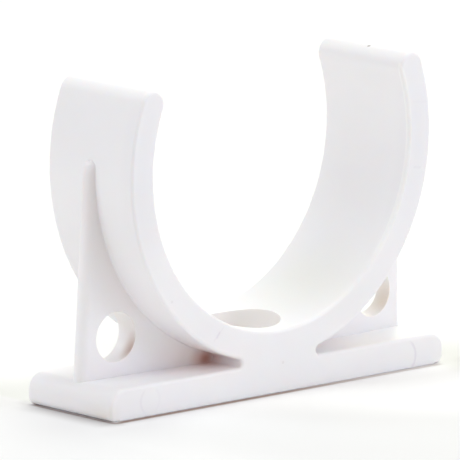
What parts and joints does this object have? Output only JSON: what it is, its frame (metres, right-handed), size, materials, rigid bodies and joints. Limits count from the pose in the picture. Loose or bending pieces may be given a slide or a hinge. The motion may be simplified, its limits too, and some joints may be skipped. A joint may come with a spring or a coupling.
{
  "type": "snap-in pipe clip",
  "caption": "One-piece plastic wall clip: an open band snaps round a pipe, over a screw-down base with a drilled web at each side.",
  "frame": {"origin": "middle of the flat underside, on the axis of the screw hole", "axes": "+X along the base, +Y along the pipe, +Z away from the wall or floor that the clip is screwed to"},
  "size_m": [0.0654, 0.017, 0.0459],
  "materials": {
    "moulding": "white moulded plastic with a soft sheen"
  },
  "bodies": {
    "root": {"pipe_clip": "moulding"}
  },
  "joints": []
}
